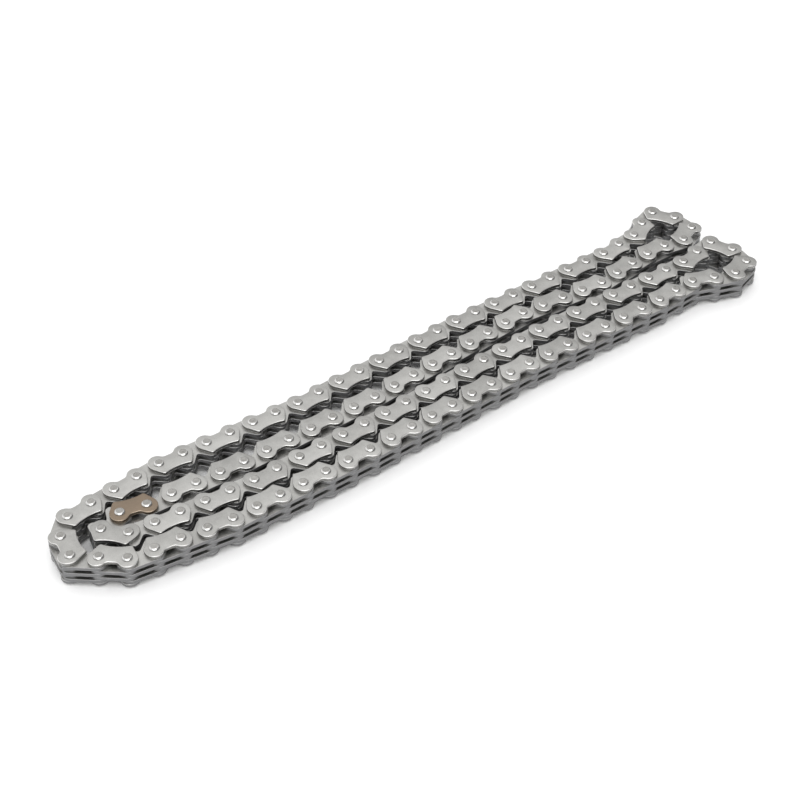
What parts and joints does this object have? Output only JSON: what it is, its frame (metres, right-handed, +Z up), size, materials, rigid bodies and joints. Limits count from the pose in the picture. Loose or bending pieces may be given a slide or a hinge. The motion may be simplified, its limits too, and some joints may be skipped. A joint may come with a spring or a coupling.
{
  "type": "timing chain",
  "caption": "Silent timing chain of laced toothed plates, guide plates and rivet pins, folded flat into four strands; it opens out into a closed running loop.",
  "frame": {"origin": "under the middle of the folded chain, on the plane of the lower rivet heads", "axes": "+X along the four strands towards the two end loops, +Y towards strand 1 at the back, +Z up along the rivet pins"},
  "size_m": [0.2058, 0.0398, 0.0075],
  "materials": {
    "plate_steel": "tumbled bare steel, satin, light oil film",
    "rivet_pin": "ground steel with domed riveted heads",
    "marked_plate": "brown bronze coloured coating on the marked link plate"
  },
  "bodies": {
    "guide_link_0": {"guide_link_0": "plate_steel"},
    "inner_link_1": {"inner_link_1": "plate_steel"},
    "link_run_2_to_6": {"link_run_2_to_6": "plate_steel"},
    "link_run_6_to_12": {"link_run_6_to_12": "plate_steel"},
    "link_run_12_to_20": {"link_run_12_to_20": "plate_steel"},
    "links_20_to_30": {"link_run_20_to_28": "plate_steel", "link_run_28_to_30": "plate_steel"},
    "links_30_to_32": {"guide_link_30": "plate_steel", "inner_link_31": "plate_steel"},
    "links_32_to_34": {"guide_link_32": "plate_steel", "inner_link_33": "plate_steel"},
    "links_34_to_36": {"guide_link_34": "plate_steel", "inner_link_35": "plate_steel"},
    "links_36_to_44": {"guide_link_36": "plate_steel", "link_run_37_to_40": "plate_steel", "link_run_40_to_44": "plate_steel"},
    "link_run_44_to_52": {"link_run_44_to_52": "plate_steel"},
    "link_run_52_to_58": {"link_run_52_to_58": "plate_steel"},
    "links_58_to_63": {"joining_link_first_pin": "rivet_pin", "joining_link_lower_guide_plate": "plate_steel", "joining_link_lower_link_plate": "plate_steel", "joining_link_second_pin": "rivet_pin", "joining_link_upper_guide_plate": "marked_plate", "joining_link_upper_link_plate": "plate_steel", "link_run_58_to_62": "plate_steel"},
    "inner_link_63": {"inner_link_63_lower_link_plate": "plate_steel", "inner_link_63_middle_link_plate": "plate_steel", "inner_link_63_upper_link_plate": "plate_steel"},
    "fold_link": {"fold_link_first_pin": "rivet_pin", "fold_link_lower_guide_plate": "plate_steel", "fold_link_lower_link_plate": "plate_steel", "fold_link_second_pin": "rivet_pin", "fold_link_upper_guide_plate": "plate_steel", "fold_link_upper_link_plate": "plate_steel"},
    "links_65_to_70": {"inner_link_65_lower_link_plate": "plate_steel", "inner_link_65_middle_link_plate": "plate_steel", "inner_link_65_upper_link_plate": "plate_steel", "link_run_66_to_70": "plate_steel"},
    "links_70_to_84": {"link_run_70_to_76": "plate_steel", "link_run_76_to_84": "plate_steel"},
    "link_run_84_to_92": {"link_run_84_to_92": "plate_steel"},
    "link_run_92_to_94": {"link_run_92_to_94": "plate_steel"},
    "guide_link_94": {"guide_link_94": "plate_steel"},
    "inner_link_95": {"inner_link_95": "plate_steel"},
    "guide_link_96": {"guide_link_96": "plate_steel"},
    "links_97_to_99": {"guide_link_98": "plate_steel", "inner_link_97": "plate_steel"},
    "links_99_to_101": {"guide_link_100": "plate_steel", "inner_link_99": "plate_steel"},
    "link_run_101_to_108": {"link_run_101_to_108": "plate_steel"},
    "link_run_108_to_116": {"link_run_108_to_116": "plate_steel"},
    "link_run_116_to_122": {"link_run_116_to_122": "plate_steel"},
    "link_run_122_to_126": {"link_run_122_to_126": "plate_steel"},
    "link_run_126_to_0": {"link_run_126_to_0": "plate_steel"}
  },
  "joints": [
    {"name": "hinge_at_pin_64", "type": "hinge", "parent": "fold_link", "child": "inner_link_63", "pos_m": [-0.09041, 0.00615, 0], "axis": [0, 0, 1], "range_deg": [0, 121.88]},
    {"name": "hinge_at_pin_63", "type": "hinge", "parent": "inner_link_63", "child": "links_58_to_63", "pos_m": [-0.08436, 0.00806, 0], "axis": [0, 0, 1], "range_deg": [0, 38.7]},
    {"name": "hinge_at_pin_58", "type": "hinge", "parent": "links_58_to_63", "child": "link_run_52_to_58", "pos_m": [-0.05288, 0.00446, 0], "axis": [0, 0, 1], "range_deg": [0, 5.02]},
    {"name": "hinge_at_pin_52", "type": "hinge", "parent": "link_run_52_to_58", "child": "link_run_44_to_52", "pos_m": [-0.01479, 0.00355, 0], "axis": [0, 0, 1], "range_deg": [0, 5.02]},
    {"name": "hinge_at_pin_44", "type": "hinge", "parent": "link_run_44_to_52", "child": "links_36_to_44", "pos_m": [0.03596, 0.00577, 0], "axis": [0, 0, 1], "range_deg": [0, 14.44]},
    {"name": "hinge_at_pin_36", "type": "hinge", "parent": "links_36_to_44", "child": "links_34_to_36", "pos_m": [0.08646, 0.00387, 0], "axis": [0, 0, 1], "range_deg": [0, 19.21]},
    {"name": "hinge_at_pin_34", "type": "hinge", "parent": "links_34_to_36", "child": "links_32_to_34", "pos_m": [0.09854, 0.00509, 0], "axis": [0, 0, 1], "range_deg": [-59.02, 0]},
    {"name": "hinge_at_pin_32", "type": "hinge", "parent": "links_32_to_34", "child": "links_30_to_32", "pos_m": [0.09521, 0.01695, 0], "axis": [0, 0, 1], "range_deg": [-67.55, 0]},
    {"name": "hinge_at_pin_30", "type": "hinge", "parent": "links_30_to_32", "child": "links_20_to_30", "pos_m": [0.08336, 0.01248, 0], "axis": [0, 0, 1], "range_deg": [0, 29.7]},
    {"name": "hinge_at_pin_20", "type": "hinge", "parent": "links_20_to_30", "child": "link_run_12_to_20", "pos_m": [0.01995, 0.01376, 0], "axis": [0, 0, 1], "range_deg": [0, 5.02]},
    {"name": "hinge_at_pin_12", "type": "hinge", "parent": "link_run_12_to_20", "child": "link_run_6_to_12", "pos_m": [-0.03085, 0.01338, 0], "axis": [0, 0, 1], "range_deg": [0, 9.17]},
    {"name": "hinge_at_pin_6", "type": "hinge", "parent": "link_run_6_to_12", "child": "link_run_2_to_6", "pos_m": [-0.06886, 0.01606, 0], "axis": [0, 0, 1], "range_deg": [0, 5.02]},
    {"name": "hinge_at_pin_2", "type": "hinge", "parent": "link_run_2_to_6", "child": "inner_link_1", "pos_m": [-0.09419, 0.01424, 0], "axis": [0, 0, 1], "range_deg": [-35.85, 0]},
    {"name": "hinge_at_pin_1", "type": "hinge", "parent": "inner_link_1", "child": "guide_link_0", "pos_m": [-0.09863, 0.0097, 0], "axis": [0, 0, 1], "range_deg": [-27.23, 0]},
    {"name": "hinge_at_pin_65", "type": "hinge", "parent": "fold_link", "child": "links_65_to_70", "pos_m": [-0.08615, 0.00144, 0], "axis": [0, 0, 1], "range_deg": [-46.05, 0]},
    {"name": "hinge_at_pin_70", "type": "hinge", "parent": "links_65_to_70", "child": "links_70_to_84", "pos_m": [-0.05461, -0.00213, 0], "axis": [0, 0, 1], "range_deg": [-12.65, 0]},
    {"name": "hinge_at_pin_84", "type": "hinge", "parent": "links_70_to_84", "child": "link_run_84_to_92", "pos_m": [0.03428, -0.00224, 0], "axis": [0, 0, 1], "range_deg": [-5.97, 0]},
    {"name": "hinge_at_pin_92", "type": "hinge", "parent": "link_run_84_to_92", "child": "link_run_92_to_94", "pos_m": [0.08503, -0.00462, 0], "axis": [0, 0, 1], "range_deg": [-20.21, 0]},
    {"name": "hinge_at_pin_94", "type": "hinge", "parent": "link_run_92_to_94", "child": "guide_link_94", "pos_m": [0.09762, -0.00295, 0], "axis": [0, 0, 1], "range_deg": [0, 61.23]},
    {"name": "hinge_at_pin_95", "type": "hinge", "parent": "guide_link_94", "child": "inner_link_95", "pos_m": [0.09977, -0.00893, 0], "axis": [0, 0, 1], "range_deg": [0, 14.37]},
    {"name": "hinge_at_pin_96", "type": "hinge", "parent": "inner_link_95", "child": "guide_link_96", "pos_m": [0.09854, -0.01516, 0], "axis": [0, 0, 1], "range_deg": [0, 47.66]},
    {"name": "hinge_at_pin_97", "type": "hinge", "parent": "guide_link_96", "child": "links_97_to_99", "pos_m": [0.0924, -0.01676, 0], "axis": [0, 0, 1], "range_deg": [0, 18.58]},
    {"name": "hinge_at_pin_99", "type": "hinge", "parent": "links_97_to_99", "child": "links_99_to_101", "pos_m": [0.08056, -0.01217, 0], "axis": [0, 0, 1], "range_deg": [-38.76, 0]},
    {"name": "hinge_at_pin_101", "type": "hinge", "parent": "links_99_to_101", "child": "link_run_101_to_108", "pos_m": [0.06786, -0.01242, 0], "axis": [0, 0, 1], "range_deg": [-11.59, 0]},
    {"name": "hinge_at_pin_108", "type": "hinge", "parent": "link_run_101_to_108", "child": "link_run_108_to_116", "pos_m": [0.02346, -0.01035, 0], "axis": [0, 0, 1], "range_deg": [-11.65, 0]},
    {"name": "hinge_at_pin_116", "type": "hinge", "parent": "link_run_108_to_116", "child": "link_run_116_to_122", "pos_m": [-0.02734, -0.01055, 0], "axis": [0, 0, 1], "range_deg": [-5.58, 0]},
    {"name": "hinge_at_pin_122", "type": "hinge", "parent": "link_run_116_to_122", "child": "link_run_122_to_126", "pos_m": [-0.06542, -0.0093, 0], "axis": [0, 0, 1], "range_deg": [-5.02, 0]},
    {"name": "hinge_at_pin_126", "type": "hinge", "parent": "link_run_122_to_126", "child": "link_run_126_to_0", "pos_m": [-0.09046, -0.00506, 0], "axis": [0, 0, 1], "range_deg": [0, 26.36]}
  ],
  "couplings": [
    {"joint": "hinge_at_pin_63", "follows": "hinge_at_pin_64", "ratio": 0.31738},
    {"joint": "hinge_at_pin_58", "follows": "hinge_at_pin_64", "ratio": 0.041024},
    {"joint": "hinge_at_pin_52", "follows": "hinge_at_pin_64", "ratio": 0.041024},
    {"joint": "hinge_at_pin_44", "follows": "hinge_at_pin_64", "ratio": 0.11833},
    {"joint": "hinge_at_pin_36", "follows": "hinge_at_pin_64", "ratio": 0.15749},
    {"joint": "hinge_at_pin_34", "follows": "hinge_at_pin_64", "ratio": -0.48416},
    {"joint": "hinge_at_pin_32", "follows": "hinge_at_pin_64", "ratio": -0.55412},
    {"joint": "hinge_at_pin_30", "follows": "hinge_at_pin_64", "ratio": 0.24353},
    {"joint": "hinge_at_pin_20", "follows": "hinge_at_pin_64", "ratio": 0.041024},
    {"joint": "hinge_at_pin_12", "follows": "hinge_at_pin_64", "ratio": 0.07515},
    {"joint": "hinge_at_pin_6", "follows": "hinge_at_pin_64", "ratio": 0.041024},
    {"joint": "hinge_at_pin_2", "follows": "hinge_at_pin_64", "ratio": -0.29402},
    {"joint": "hinge_at_pin_1", "follows": "hinge_at_pin_64", "ratio": -0.22331},
    {"joint": "hinge_at_pin_65", "follows": "hinge_at_pin_64", "ratio": -0.37767},
    {"joint": "hinge_at_pin_70", "follows": "hinge_at_pin_64", "ratio": -0.10367},
    {"joint": "hinge_at_pin_84", "follows": "hinge_at_pin_64", "ratio": -0.048834},
    {"joint": "hinge_at_pin_92", "follows": "hinge_at_pin_64", "ratio": -0.16571},
    {"joint": "hinge_at_pin_94", "follows": "hinge_at_pin_64", "ratio": 0.50222},
    {"joint": "hinge_at_pin_95", "follows": "hinge_at_pin_64", "ratio": 0.11774},
    {"joint": "hinge_at_pin_96", "follows": "hinge_at_pin_64", "ratio": 0.39091},
    {"joint": "hinge_at_pin_97", "follows": "hinge_at_pin_64", "ratio": 0.15235},
    {"joint": "hinge_at_pin_99", "follows": "hinge_at_pin_64", "ratio": -0.31789},
    {"joint": "hinge_at_pin_101", "follows": "hinge_at_pin_64", "ratio": -0.094938},
    {"joint": "hinge_at_pin_108", "follows": "hinge_at_pin_64", "ratio": -0.095427},
    {"joint": "hinge_at_pin_116", "follows": "hinge_at_pin_64", "ratio": -0.045635},
    {"joint": "hinge_at_pin_122", "follows": "hinge_at_pin_64", "ratio": -0.041024},
    {"joint": "hinge_at_pin_126", "follows": "hinge_at_pin_64", "ratio": 0.21615}
  ]
}
